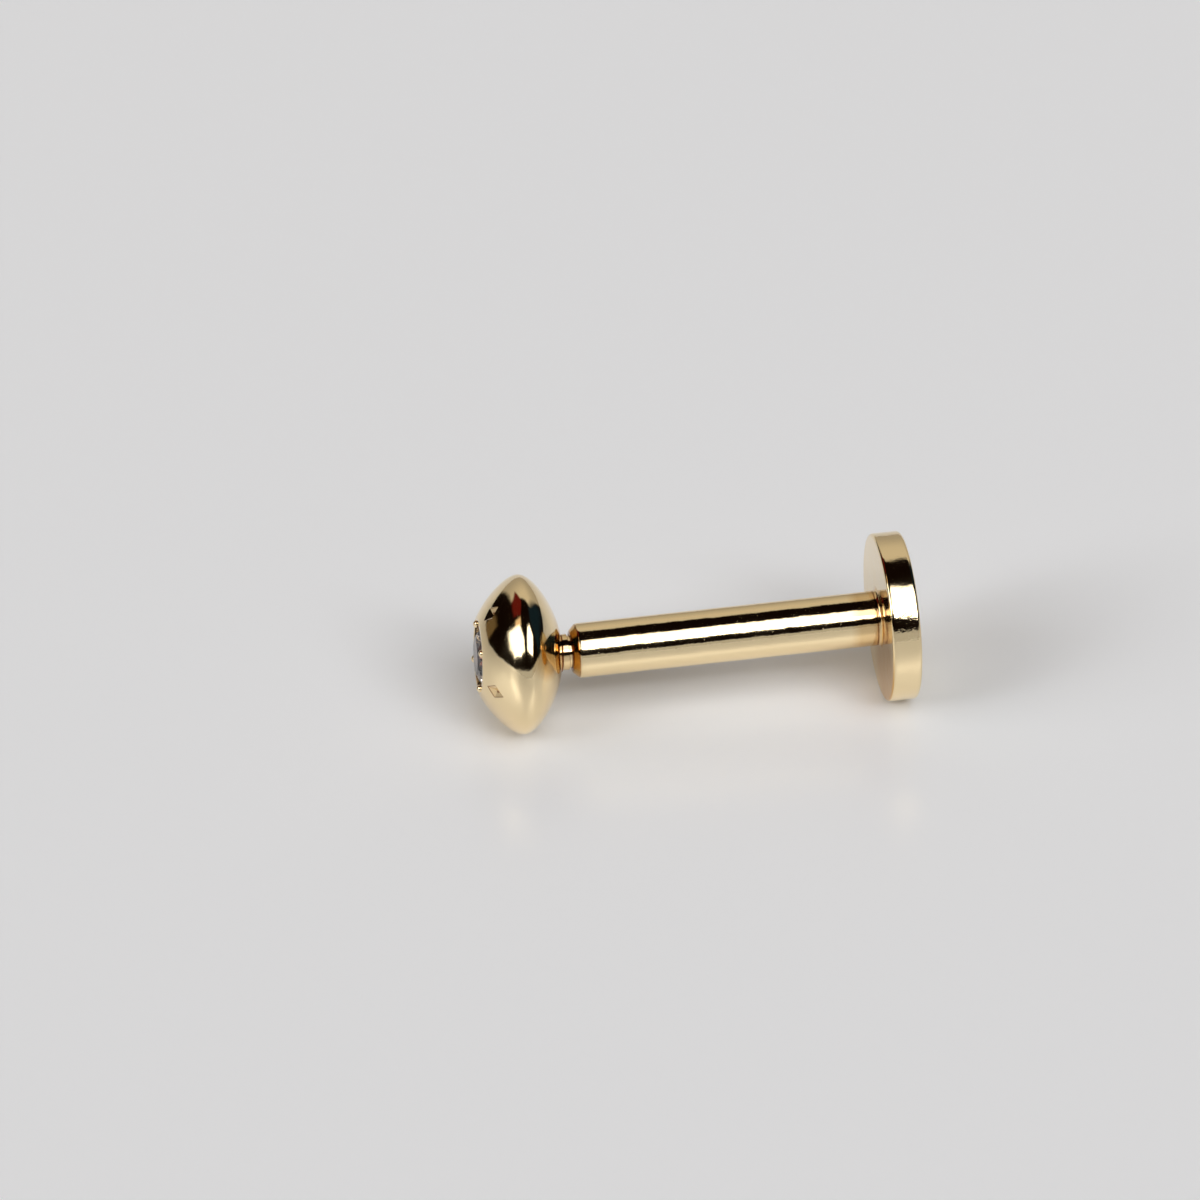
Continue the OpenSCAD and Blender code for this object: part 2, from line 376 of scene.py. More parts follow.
def lathe_tree(name):
    """Turns an outline, whose points are (radius, 0, along), about the Z axis into a solid. A
    flat grid 1 m wide, with its middle at zero, is rolled up: a column for each point of the
    outline and a row for each step around."""
    tree, b, given, out = new_tree(
        name, "GeometryNodeTree",
        [("Outline", "NodeSocketGeometry", None), ("Steps Around", "NodeSocketInt", STEPS_AROUND),
         ("Finish", "NodeSocketMaterial", None)],
        [("Solid", "NodeSocketGeometry")])
    outline, steps, finish = given.outputs[:3]
    count = b.add("GeometryNodeAttributeDomainSize", outline).outputs["Point Count"]
    rows = b.math("ADD", steps, 1.0)
    grid = b.add("GeometryNodeMeshGrid", 1.0, 1.0, count, rows)
    place = b.add("ShaderNodeSeparateXYZ", b.add("GeometryNodeInputPosition").outputs[0])
    across = b.math("ADD", place.outputs[0], 0.5)
    number = b.math("ROUND", b.math("MULTIPLY", across, b.math("SUBTRACT", count, 1.0)))
    turn = b.math("MULTIPLY", b.math("ADD", place.outputs[1], 0.5), math.tau)
    sample = b.add("GeometryNodeSampleIndex", data_type="FLOAT_VECTOR", domain="POINT")
    b.feed(sample.inputs["Geometry"], outline)
    b.feed(sample.inputs["Value"], b.add("GeometryNodeInputPosition").outputs[0])
    b.feed(sample.inputs["Index"], number)
    point = b.add("ShaderNodeSeparateXYZ", sample.outputs[0])
    x = b.math("MULTIPLY", point.outputs[0], b.math("COSINE", turn))
    y = b.math("MULTIPLY", point.outputs[0], b.math("SINE", turn))
    moved = b.add("GeometryNodeSetPosition", grid.outputs[0])
    rolled = b.add("ShaderNodeCombineXYZ", x, y, point.outputs[2])
    b.feed(moved.inputs["Position"], rolled.outputs[0])
    merged = b.add("GeometryNodeMergeByDistance", moved.outputs[0])
    b.feed(merged.inputs["Distance"], SEAM)
    whole = b.add("GeometryNodeRealizeInstances", merged.outputs[0]).outputs[0]
    dressed = b.add("GeometryNodeSetMaterial", whole)
    b.feed(dressed.inputs["Material"], finish)
    b.feed(out.inputs[0], dressed.outputs[0])
    return tree


def star_tree(name):
    """Cuts rays into the front of a lens, raises a grain between each two and joins the shank"""
    tree, b, given, out = new_tree(
        name, "GeometryNodeTree",
        [("Lens", "NodeSocketGeometry", None), ("Rays", "NodeSocketInt", 4),
         ("Star Turn", "NodeSocketFloat", 0.0), ("Cutter", "NodeSocketObject", None),
         ("Grain", "NodeSocketObject", None), ("Shank", "NodeSocketObject", None),
         ("Finish", "NodeSocketMaterial", None)],
        [("Head", "NodeSocketGeometry")])
    lens, rays, turn, cutter, grain, shank, finish = given.outputs[:7]
    index = b.add("GeometryNodeInputIndex").outputs[0]
    step = b.math("DIVIDE", math.tau, rays)
    ring = b.add("GeometryNodeMeshLine", rays)
    b.feed(ring.inputs["Offset"], (0, 0, 0))

    def copies(thing, past=0.0):
        """One for each ray, turned past it by a share of the step between two rays"""
        around = b.math("ADD", b.math("MULTIPLY", b.math("ADD", index, past), step), turn)
        shape = b.add("GeometryNodeObjectInfo", thing).outputs["Geometry"]
        put = b.add("GeometryNodeInstanceOnPoints", ring.outputs[0])
        b.feed(put.inputs["Instance"], shape)
        b.feed(put.inputs["Rotation"], b.add("ShaderNodeCombineXYZ", 0.0, 0.0, around).outputs[0])
        return b.add("GeometryNodeRealizeInstances", put.outputs[0]).outputs[0]

    def boolean(operation, first, *others):
        node = b.add("GeometryNodeMeshBoolean", operation=operation, solver="MANIFOLD")
        if first is not None:
            b.feed(node.inputs["Mesh 1"], first)
        for other in others:
            tree.links.new(other, node.inputs["Mesh 2"])
        return node.outputs["Mesh"]

    cut = boolean("DIFFERENCE", lens, copies(cutter))
    stem = b.add("GeometryNodeObjectInfo", shank).outputs["Geometry"]
    joined = boolean("UNION", None, cut, copies(grain, past=0.5), stem)
    whole = b.add("GeometryNodeRealizeInstances", joined).outputs[0]
    dressed = b.add("GeometryNodeSetMaterial", whole)
    b.feed(dressed.inputs["Material"], finish)
    b.feed(out.inputs[0], dressed.outputs[0])
    return tree


def mesh_object(name, points, edges, faces):
    mesh = bpy.data.meshes.new(name)
    mesh.from_pydata(points, edges, faces)
    made = bpy.data.objects.new(name, mesh)
    bpy.context.scene.collection.objects.link(made)
    return made


def drop(*objects):
    """Removes objects that only helped to make a piece"""
    for thing in objects:
        mesh = thing.data
        bpy.data.objects.remove(thing)
        bpy.data.meshes.remove(mesh)


def made_by(tree, thing, **values):
    """Runs a node tree on an object, with values for its named inputs, and keeps its mesh"""
    modifier = thing.modifiers.new("nodes", "NODES")
    modifier.node_group = tree
    for item in tree.interface.items_tree:
        if item.in_out == "INPUT" and item.name in values:
            modifier[item.identifier] = values[item.name]
    bpy.context.view_layer.update()
    evaluated = thing.evaluated_get(bpy.context.evaluated_depsgraph_get())
    mesh = bpy.data.meshes.new_from_object(evaluated)
    # The grid of a turned solid brings an empty slot
    while mesh.materials and mesh.materials[0] is None:
        mesh.materials.pop(index=0)
    thing.modifiers.clear()
    old = thing.data
    thing.data = mesh
    bpy.data.meshes.remove(old)
    return thing


def turned(name, outline, finish=None):
    """A solid of revolution about Z"""
    points = [(p.y, 0, p.x) for p in outline]
    edges = [(i, i + 1) for i in range(len(points) - 1)]
    thing = mesh_object(name, points, edges, [])
    made_by(shared("turned_on_a_lathe", lathe_tree), thing,
            **({"Finish": finish} if finish else {}))
    if signed_volume(thing.data) < 0:
        thing.data.flip_normals()
    return thing


def signed_volume(mesh):
    """The volume of a closed mesh, negative where its faces look inwards"""
    mesh.calc_loop_triangles()
    total = 0.0
    for triangle in mesh.loop_triangles:
        a, b, c = (mesh.vertices[v].co for v in triangle.vertices)
        total += a.dot(b.cross(c))
    return total / 6


# Where a ray starts and ends, as shares of the front's curve, and where it is widest, as a
# share of its length
RAY_FROM = 0.15
RAY_TO = 0.47
RAY_WIDEST = 0.5
GRAIN_STEPS = 16


def ray_ends(s):
    """Both ends of a ray, as points of (along the axis, radius)"""
    curve = front_curve(s)
    return [curve[round(share_of_curve * CURVE_STEPS)] for share_of_curve in (RAY_FROM, RAY_TO)]


def ray_cutter(s):
    """Four facets that cut a shallow ray with a point at both ends, at the top of the front. They
    run on past the surface to where the cutter is twice as wide as the cut."""
    root, tip = (Vector((-end.y, 0, end.x)) for end in ray_ends(s))
    side = Vector((0, s.ray_w, 0))
    out = (tip - root).cross(side).normalized() * s.ray_depth
    widest = root.lerp(tip, RAY_WIDEST)
    corners = [out + widest + 2 * (root - widest), out + widest - side,
               out + widest + 2 * (tip - widest), out + widest + side]
    faces = [(1, 2, 3, 4), (0, 2, 1), (0, 3, 2), (0, 4, 3), (0, 1, 4)]
    cutter = mesh_object("ray_cutter", [widest - out] + corners, [], faces)
    if signed_volume(cutter.data) < 0:
        cutter.data.flip_normals()
    return cutter


def grain_ball(s):
    """A grain of metal, raised beside the seat and pressed over the stone's edge"""
    turns = [math.pi * i / GRAIN_STEPS for i in range(GRAIN_STEPS + 1)]
    outline = [Vector((-s.grain_r * math.cos(a), s.grain_r * math.sin(a))) for a in turns]
    ball = turned("grain_ball", outline)
    place = Vector((-s.grain_ring, 0, s.grain_in - s.back - s.front))
    ball.data.transform(Matrix.Translation(place))
    return ball


def finish_piece(thing, body, node, smooth_degrees):
    """Shades a piece, hangs it on its body and hides the CAD part that it stands for"""
    thing.data.polygons.foreach_set("use_smooth", [True] * len(thing.data.polygons))
    thing.data.set_sharp_from_angle(angle=math.radians(smooth_degrees))
    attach(thing, body)
    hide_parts(node)


# Materials. Heights are in microns, and a noise's scale is in waves to a metre.
FINE_LINES = 42000.0
FINE_LINE_LIMITS = (0.6, 0.75)
FINE_LINE_STRETCH = (0.12, 1.0, 1.0)
CROSS_STROKES = 30000.0
CROSS_STROKE_LIMITS = (0.63, 0.75)
CROSS_STROKE_STRETCH = (0.1, 1.0, 1.0)
CROSS_STROKE_AXIS = (0.3, 0.8, 0.5)
CROSS_STROKE_ANGLE = 1.1
WEAR_PATCHES = 1800.0
WEAR_PATCH_LIMITS = (0.35, 0.65)
PIT_GRAIN = 60000.0
PIT_LIMITS = (0.74, 0.82)
HAND_SWELL = 2600.0
DIMPLES = 15000.0
DIMPLE_GRAIN = 0.6
DIMPLE_SHARE = 0.15
# The worn place: how many more dimples it has, and where it fades, in shares of its radius
WORN_DIMPLES = 3.0
WORN_FADE = (0.5, 1.1)
SWELL_HEIGHT = 8.0
SCRATCH_DEPTH = 0.12
PIT_DEPTH = 1.2
PATCH_WEAR = 0.5
WEAR_ROUGHNESS = 0.06
PIT_ROUGHNESS = 0.3


def polish_group(name):
    """Fine scratches, pits and ripples left by hand polishing, and one worn place"""
    tree, b, given, out = new_tree(
        name, "ShaderNodeTree",
        [("Place", "NodeSocketVector", None), ("Roughness", "NodeSocketFloat", 0.06),
         ("Scratches", "NodeSocketFloat", 1.0), ("Pits", "NodeSocketFloat", 1.0),
         ("Ripple", "NodeSocketFloat", 1.0), ("Dimples", "NodeSocketFloat", 1.0),
         ("Worn Place", "NodeSocketVector", None), ("Worn Radius", "NodeSocketFloat", 0.0)],
        [("Roughness", "NodeSocketFloat"), ("Height", "NodeSocketFloat")])
    place, rough, scratches, pits, ripple, dimples, worn_place, worn_radius = given.outputs[:8]
    stretched = b.vector("MULTIPLY", place, FINE_LINE_STRETCH)
    crossed = b.add("ShaderNodeVectorRotate", place, rotation_type="AXIS_ANGLE")
    b.feed(crossed.inputs["Axis"], CROSS_STROKE_AXIS)
    b.feed(crossed.inputs["Angle"], CROSS_STROKE_ANGLE)
    crossed = b.vector("MULTIPLY", crossed.outputs[0], CROSS_STROKE_STRETCH)
    lines = b.smooth(b.noise(stretched, FINE_LINES, 2.0), *FINE_LINE_LIMITS)
    strokes = b.smooth(b.noise(crossed, CROSS_STROKES, 1.0), *CROSS_STROKE_LIMITS)
    scratch = b.math("MULTIPLY", b.math("MAXIMUM", lines, strokes), scratches)
    patches = b.smooth(b.noise(place, WEAR_PATCHES, 2.0), *WEAR_PATCH_LIMITS)
    pit = b.smooth(b.noise(place, PIT_GRAIN, 1.0), *PIT_LIMITS)
    pit = b.math("MULTIPLY", b.math("MULTIPLY", pit, patches), pits)
    swell = b.math("MULTIPLY", b.noise(place, HAND_SWELL, 1.0), ripple)
    away = b.size(b.vector("SUBTRACT", place, worn_place))
    worn = b.smooth(b.math("DIVIDE", away, b.math("MAXIMUM", worn_radius, MICRON)),
                    *WORN_FADE, 1.0, 0.0)
    dent = b.math("MULTIPLY", b.noise(place, DIMPLES, 2.0, DIMPLE_GRAIN),
                  b.math("ADD", dimples, b.math("MULTIPLY", worn, WORN_DIMPLES)))
    swell = b.math("ADD", swell, b.math("MULTIPLY", dent, DIMPLE_SHARE))
    height = b.math("SUBTRACT", b.math("MULTIPLY", swell, SWELL_HEIGHT),
                    b.math("MULTIPLY", scratch, SCRATCH_DEPTH))
    height = b.math("SUBTRACT", height, b.math("MULTIPLY", pit, PIT_DEPTH))
    wear = b.math("ADD", scratch, b.math("MULTIPLY", patches, PATCH_WEAR))
    wear = b.math("MULTIPLY", wear, WEAR_ROUGHNESS)
    b.feed(out.inputs[0], b.math("ADD", b.math("ADD", rough, wear),
                                 b.math("MULTIPLY", pit, PIT_ROUGHNESS)))
    b.feed(out.inputs[1], height)
    return tree


def new_material(name):
    material = bpy.data.materials.new(name)
    material.use_nodes = True
    material.node_tree.nodes.clear()
    b = Builder(material.node_tree)
    shader = b.add("ShaderNodeBsdfPrincipled")
    output = b.add("ShaderNodeOutputMaterial")
    b.feed(output.inputs[0], shader.outputs[0])
    return material, b, shader


# Softness of the edge of a stain, from its sharpest
SHARP = 0.01 * MM
SOFT = 0.03 * MM


def stain_group(name):
    """A mask over a stretch of the axis, inside a cylinder whose middle may lie aside of it. Its
    edges fade inwards."""
    tree, b, given, out = new_tree(
        name, "ShaderNodeTree",
        [("Place", "NodeSocketVector", None), ("Radius", "NodeSocketFloat", 0.5 * MM),
         ("From", "NodeSocketFloat", 0.0), ("To", "NodeSocketFloat", 0.0),
         ("Strength", "NodeSocketFloat", 1.0), ("End Softness", "NodeSocketFloat", SHARP),
         ("Side Softness", "NodeSocketFloat", SHARP), ("Aside", "NodeSocketVector", None)],
        [("Mask", "NodeSocketFloat")])
    place, radius, start, end, strength, end_soft, side_soft, aside = given.outputs[:8]
    parts = b.add("ShaderNodeSeparateXYZ", place)
    across = b.add("ShaderNodeCombineXYZ", 0.0, parts.outputs[1], parts.outputs[2])
    far = b.size(b.vector("SUBTRACT", across.outputs[0], aside))

    def below(value, limit, soft):
        return b.ramp(value, b.math("SUBTRACT", limit, soft), limit, 1.0, 0.0)

    along = parts.outputs[0]
    after_start = b.math("SUBTRACT", 1.0, below(along, start, end_soft))
    inside = b.math("MULTIPLY", below(far, radius, side_soft), after_start)
    inside = b.math("MULTIPLY", inside, below(along, end, end_soft))
    b.feed(out.inputs[0], b.math("MULTIPLY", inside, strength))
    return tree


def stain(radius, start, end, strength, end_soft=SHARP, side_soft=SHARP, aside=(0, 0, 0)):
    """The values of one stain, in the order of the group's sockets"""
    return (radius, start, end, strength, end_soft, side_soft, aside)


def from_axis(radius, degrees, along=0):
    """A place this far from the axis, this high up from its near side, and this far along"""
    up = math.radians(degrees)
    return (along, -radius * math.cos(up), radius * math.sin(up))


# Soil in the rays: its strength, and how far from a ray's edge or deepest point it goes
RAY_TARNISH = 0.3
RAY_TARNISH_EDGE = 0.004 * MM
RAY_EDGE_SOIL = 0.85
RAY_EDGE_WIDTHS = (0.004 * MM, 0.014 * MM)
RAY_PIT_WIDTHS = (0.012 * MM, 0.04 * MM)


def ray_soil_group(name):
    """Soil left in the rays of the star: thin on their facets, thick in their edges and pits"""
    tree, b, given, out = new_tree(
        name, "ShaderNodeTree",
        [("Place", "NodeSocketVector", None), ("Rays", "NodeSocketFloat", 4.0),
         ("Star Turn", "NodeSocketFloat", 0.0), ("Root", "NodeSocketFloat", 0.8 * MM),
         ("Tip", "NodeSocketFloat", 1.2 * MM), ("Widest", "NodeSocketFloat", RAY_WIDEST),
         ("Half Width", "NodeSocketFloat", 0.11 * MM), ("Along To", "NodeSocketFloat", 0.0)],
        [("Soil", "NodeSocketFloat"), ("Tarnish", "NodeSocketFloat")])
    place, rays, turn, root, tip, widest, half, end = given.outputs[:8]
    parts = b.add("ShaderNodeSeparateXYZ", place)
    far = b.size(b.add("ShaderNodeCombineXYZ", 0.0, *parts.outputs[1:3]).outputs[0])
    around = b.math("ARCTAN2", b.math("MULTIPLY", parts.outputs[1], -1.0), parts.outputs[2])
    sector = b.math("DIVIDE", math.pi, rays)
    folded = b.math("WRAP", b.math("SUBTRACT", around, turn), sector,
                    b.math("MULTIPLY", sector, -1.0))
    side = b.math("ABSOLUTE", b.math("MULTIPLY", far, b.math("SINE", folded)))
    ray_length = b.math("SUBTRACT", tip, root)
    run = b.math("DIVIDE", b.math("SUBTRACT", far, root), ray_length)
    opening = b.math("DIVIDE", run, widest)
    closing = b.math("DIVIDE", b.math("SUBTRACT", 1.0, run), b.math("SUBTRACT", 1.0, widest))
    inside = b.math("SUBTRACT", b.math("MULTIPLY", b.math("MINIMUM", opening, closing), half),
                    side)
    facets = b.ramp(inside, 0.0, RAY_TARNISH_EDGE, 0.0, RAY_TARNISH)
    edges = b.ramp(b.math("ABSOLUTE", inside), *RAY_EDGE_WIDTHS, RAY_EDGE_SOIL, 0.0)
    deepest = b.math("ADD", root, b.math("MULTIPLY", widest, ray_length))
    pit = b.add("ShaderNodeCombineXYZ", side, b.math("SUBTRACT", far, deepest)).outputs[0]
    pit = b.ramp(b.size(pit), *RAY_PIT_WIDTHS, 1.0, 0.0)
    front = b.ramp(parts.outputs[0], b.math("SUBTRACT", end, SHARP), end, 1.0, 0.0)
    b.feed(out.inputs[0], b.math("MULTIPLY", b.math("MAXIMUM", edges, pit), front))
    b.feed(out.inputs[1], b.math("MULTIPLY", facets, front))
    return tree


def polished_gold(name, placing, wear, painted_shade_and_tint, soiled, star=None):
    """Polished gold for a piece that was made along Z and then placed, with its wear by socket name, its stains of
    soil and of painted shade (in the darker tarnish colour), and the values of the soil in the rays of a star"""
    finish = bpy.context.scene.stud_finish
    material, b, shader = new_material(name)
    coordinates = b.add("ShaderNodeTexCoord").outputs["Object"]
    mapping = b.add("ShaderNodeMapping", coordinates, vector_type="TEXTURE")
    b.feed(mapping.inputs["Location"], placing.to_translation())
    along_x = placing @ Matrix.Rotation(-math.pi / 2, 4, "Y")
    b.feed(mapping.inputs["Rotation"], along_x.to_euler())
    place = mapping.outputs[0]
    group = b.add("ShaderNodeGroup", node_tree=shared("hand_polish", polish_group))
    for socket, value in {"Place": place, "Roughness": finish.roughness, **wear}.items():
        b.feed(group.inputs[socket], value)
    bump = b.add("ShaderNodeBump")
    b.feed(bump.inputs["Strength"], 1.0)
    b.feed(bump.inputs["Distance"], MICRON)
    b.feed(bump.inputs["Height"], group.outputs["Height"])

    # Each list of stains makes one mask: one of soil, one of painted shade with a tint
    def covered(stains):
        mask = 0.0
        for values in stains:
            part = b.add("ShaderNodeGroup", place, *values,
                         node_tree=shared("soil_and_painted_shade", stain_group))
            mask = b.math("MAXIMUM", mask, part.outputs[0])
        return mask

    soil, tarnish_and_painted_shade = covered(soiled), covered(painted_shade_and_tint)
    if star is not None:
        rays = b.add("ShaderNodeGroup", place, *star,
                     node_tree=shared("soil_in_rays", ray_soil_group))
        soil = b.math("MAXIMUM", soil, rays.outputs["Soil"])
        tarnish_and_painted_shade = b.math("MAXIMUM", tarnish_and_painted_shade, rays.outputs["Tarnish"])
    # Painted shade: the tarnish colour darkens the gold round the neck, on the chamfer, on the head's back and on
    # the disc's inner face; on the rays' facets it is tarnish
    gold_with_tarnish_and_painted_shade = b.laid_over((*finish.gold, 1), (*finish.tarnish_and_painted_shade, 1), tarnish_and_painted_shade)
    b.feed(shader.inputs["Base Color"], b.laid_over(gold_with_tarnish_and_painted_shade, (*finish.soil, 1), soil))
    b.feed(shader.inputs["Metallic"], 1.0)
    b.feed(shader.inputs["Roughness"], group.outputs["Roughness"])
    b.feed(shader.inputs["Normal"], bump.outputs[0])
    return material


STONE_INDEX = 1.77


def clear_stone():
    """A clear cut stone, tinted warm: the tint is a painted reflection of the brown seat seen through it"""
    finish = bpy.context.scene.stud_finish
    material, b, shader = new_material("clear_stone")
    b.feed(shader.inputs["Base Color"], (*finish.stone, 1))
    b.feed(shader.inputs["Roughness"], 0.0)
    b.feed(shader.inputs["IOR"], STONE_INDEX)
    b.feed(shader.inputs["Transmission Weight"], 1.0)
    return material


# The worn place on the disc's rim: how high up from its near side, in degrees, and its radius
WORN_UP = 29.5
WORN_RADIUS = 0.26 * MM
# How far the painted shade round the head's neck fades out
NECK_SOFT = 0.35 * MM


class STUD_OT_post(Operator):
    """Make the bored tube and its disc"""

    bl_idname = "stud.post"
    bl_label = "Post"

    def execute(self, context):
        sizes = context.scene.stud_post
        tube_edge = sizes.mouth + sizes.chamfer
        disc = sizes.mouth + sizes.tube_len
        solder = sizes.tube_r + sizes.solder_r
        solder_start = disc - sizes.solder_r
        # Wider than any part of the post
        everywhere = 2 * sizes.disc_r
        painted_shade_and_tint = [
            # The chamfer and the mouth: painted shade where they face the head's back across the gap
            stain(everywhere, 0, tube_edge + SHARP, 0.85, SOFT, SOFT),
            # The last of the tube, its solder and the disc's face round them, tinted darker and more orange
            stain(solder + 0.02 * MM, disc - 0.4 * MM, disc + 0.2 * MM, 0.45, 0.2 * MM),
            # The near and lower part of the disc's inner face: painted shade, standing in for the reflection of
            # the shadow on the floor behind the tube
            stain(1.3 * MM, disc - 0.02 * MM, disc + 0.03 * MM, 0.9, SHARP, 0.6 * MM,
                  from_axis(1.0 * MM, -40))]
        soiled = [
            # The rim of the mouth
            stain(everywhere, sizes.mouth - 0.02 * MM, sizes.mouth + 0.015 * MM, 0.85),
            # The end of the chamfer
            stain(everywhere, tube_edge - 0.02 * MM, tube_edge, 0.55),
            # The start of the solder
            stain(solder, solder_start - 0.02 * MM, solder_start + SHARP, 0.7)]
        worn = from_axis(sizes.disc_r, WORN_UP, along=disc + sizes.disc_t / 2)
        gold = polished_gold("post_gold", lying(sizes),
                             {"Scratches": 1.0, "Pits": 1.0, "Ripple": 1.0, "Dimples": 1.0,
                              "Worn Place": worn, "Worn Radius": WORN_RADIUS},
                             painted_shade_and_tint, soiled)
        post = turned("post_polished", post_outline(sizes), gold)
        post.data.transform(lying(sizes))
        finish_piece(post, "post", "post", TURNED_SMOOTH)
        return {"FINISHED"}


class STUD_OT_head(Operator):
    """Make the star-set head with its collar and pin"""

    bl_idname = "stud.head"
    bl_label = "Head"

    def execute(self, context):
        sizes = context.scene.stud_head
        post_sizes = context.scene.stud_post
        lens = turned("head_polished", lens_outline(sizes))
        shank = turned("shank", shank_outline(sizes))
        shank.data.transform(leaning(sizes).inverted())
        cutter, grain = ray_cutter(sizes), grain_ball(sizes)
        front = -sizes.back - sizes.front
        neck = sizes.neck_r
        painted_shade_and_tint = [
            # The neck: painted shade in the crease between the head and the collar
            stain(neck + 1.6 * NECK_SOFT, -0.6 * MM, SHARP, 0.9, SHARP, NECK_SOFT),
            # The near side of the head's back: painted shade, standing in for the reflection of the shadowed floor
            # behind the tube
            stain(0.45 * MM, -0.7 * MM, 0, 0.75, SHARP, 0.2 * MM, from_axis(1.12 * MM, 30)),
            # The collar and the start of the pin: painted shade between the head and the tube's mouth
            stain(neck + NECK_SOFT, 0, 2 * sizes.collar_len, 0.3)]
        soiled = [
            # The stone's seat
            stain(sizes.seat_r + 0.004 * MM, front + 0.02 * MM, front + 2 * sizes.seat_r, 1.0),
            # The joint with the collar
            stain(neck + 0.05 * MM, -0.03 * MM, 0.035 * MM, 0.95)]
        root, tip = (end.y for end in ray_ends(sizes))
        star = (float(sizes.rays), sizes.ray_turn, root, tip, RAY_WIDEST, sizes.ray_w / 2,
                -sizes.back)
        gold = polished_gold("head_gold", lying(post_sizes) @ leaning(sizes),
                             {"Scratches": 0.5, "Pits": 0.6, "Ripple": 0.6, "Dimples": 0.5},
                             painted_shade_and_tint, soiled, star)
        made_by(shared("star_set_head", star_tree), lens, **{
            "Rays": sizes.rays, "Star Turn": sizes.ray_turn, "Cutter": cutter,
            "Grain": grain, "Shank": shank, "Finish": gold})
        drop(shank, cutter, grain)
        lens.data.transform(lying(post_sizes) @ leaning(sizes))
        finish_piece(lens, "top", "head", CUT_SMOOTH)
        return {"FINISHED"}


class STUD_OT_stone(Operator):
    """Give the cut stone its clear finish, tinted warm as a painted reflection of its seat"""

    bl_idname = "stud.stone"
    bl_label = "Stone"

    def execute(self, context):
        stone = frame["nodes"]["stone"]
        stone.data.materials.clear()
        stone.data.materials.append(clear_stone())
        return {"FINISHED"}


# The cards and windows round the stud: the colour of each, the softness of its edge on the map
# of the room, and its corners (azimuth, elevation) in degrees, in order round it. Azimuth turns
# from the near side towards the disc's side.
WINDOW = "window"
HEART = "heart of a window"
BACKDROP = "backdrop"
PANELS = {
    "sheet behind": (BACKDROP, 0.03, [(-166, -25), (-137, 30), (180, 60), (142, 59), (112, 40),
                                      (134, -25), (175, -25)]),
    "warm card": ((0.11, 0.009, 0.006), 0.03, [(-155, 28), (-137, 31), (-113, 37), (-108, 57),
                                               (-150, 55)]),
    "brown card": ((0.13, 0.09, 0.045), 0.03, [(-136, -6), (-134, 9), (-118, 13), (-115, -6)]),
    "blue card": ((0.006, 0.015, 0.026), 0.1, [(78, 60), (75, 0), (125, 0), (125, 60)]),
    "cream card": ((0.85, 0.62, 0.4), 0.03, [(-104, 56), (-104, 40), (-92, 36), (-86, 54)]),
    "left window": (WINDOW, 0.035, [(-99, 24), (-84, 15), (-74, 13), (-58, 22), (-41, 33),
                                    (-49, 47), (-89, 49)]),
    "near window": (WINDOW, 0.03, [(-22, 39), (-24, 60), (-14, 73), (54, 68), (63, 40),
                                   (38, 26), (20, 30), (5, 36)]),
    "left heart": (HEART, 0.05, [(-71, 15), (-57, 23), (-54, 36), (-70, 36)]),
    "near heart": (HEART, 0.04, [(-2, 38), (36, 26), (42, 36), (-4, 47)]),
}


def on_dome(azimuth_deg, elevation_deg):
    """A direction's place on a flat map of the room: straight up in the middle, the horizon at a
    length of 1, the near side at +y and the disc's side at +x"""
    out = 1 - elevation_deg / 90
    turn = math.radians(azimuth_deg)
    return Vector((out * math.sin(turn), out * math.cos(turn), 0))


def panel_mask(b, place, corners, soft):
    """Where a panel with outward corners covers the map, for a place with 1 as its z"""
    points = [on_dome(*corner) for corner in corners]
    middle = sum(points, Vector((0, 0, 0))) / len(points)
    inside = None
    for here, after in zip(points, points[1:] + points[:1]):
        run = after - here
        inward = Vector((-run.y, run.x, 0)).normalized()
        if inward.dot(middle - here) < 0:
            inward = -inward
        inward.z = -inward.dot(here)
        depth = b.add("ShaderNodeVectorMath", place, inward, operation="DOT_PRODUCT")
        depth = depth.outputs["Value"]
        inside = depth if inside is None else b.math("MINIMUM", inside, depth)
    return b.smooth(inside, -soft, soft)


# On the map of the room: where the sheet behind fades, to what share of its colour, and where
# the table begins, whose edge slopes by so much to the side and to the near side
BACKDROP_FADE = (0.45, 1.0)
BACKDROP_LOW = 0.6
TABLE_EDGE = (1.015, 1.05)
TABLE_SLOPES = (0.03, 0.17)


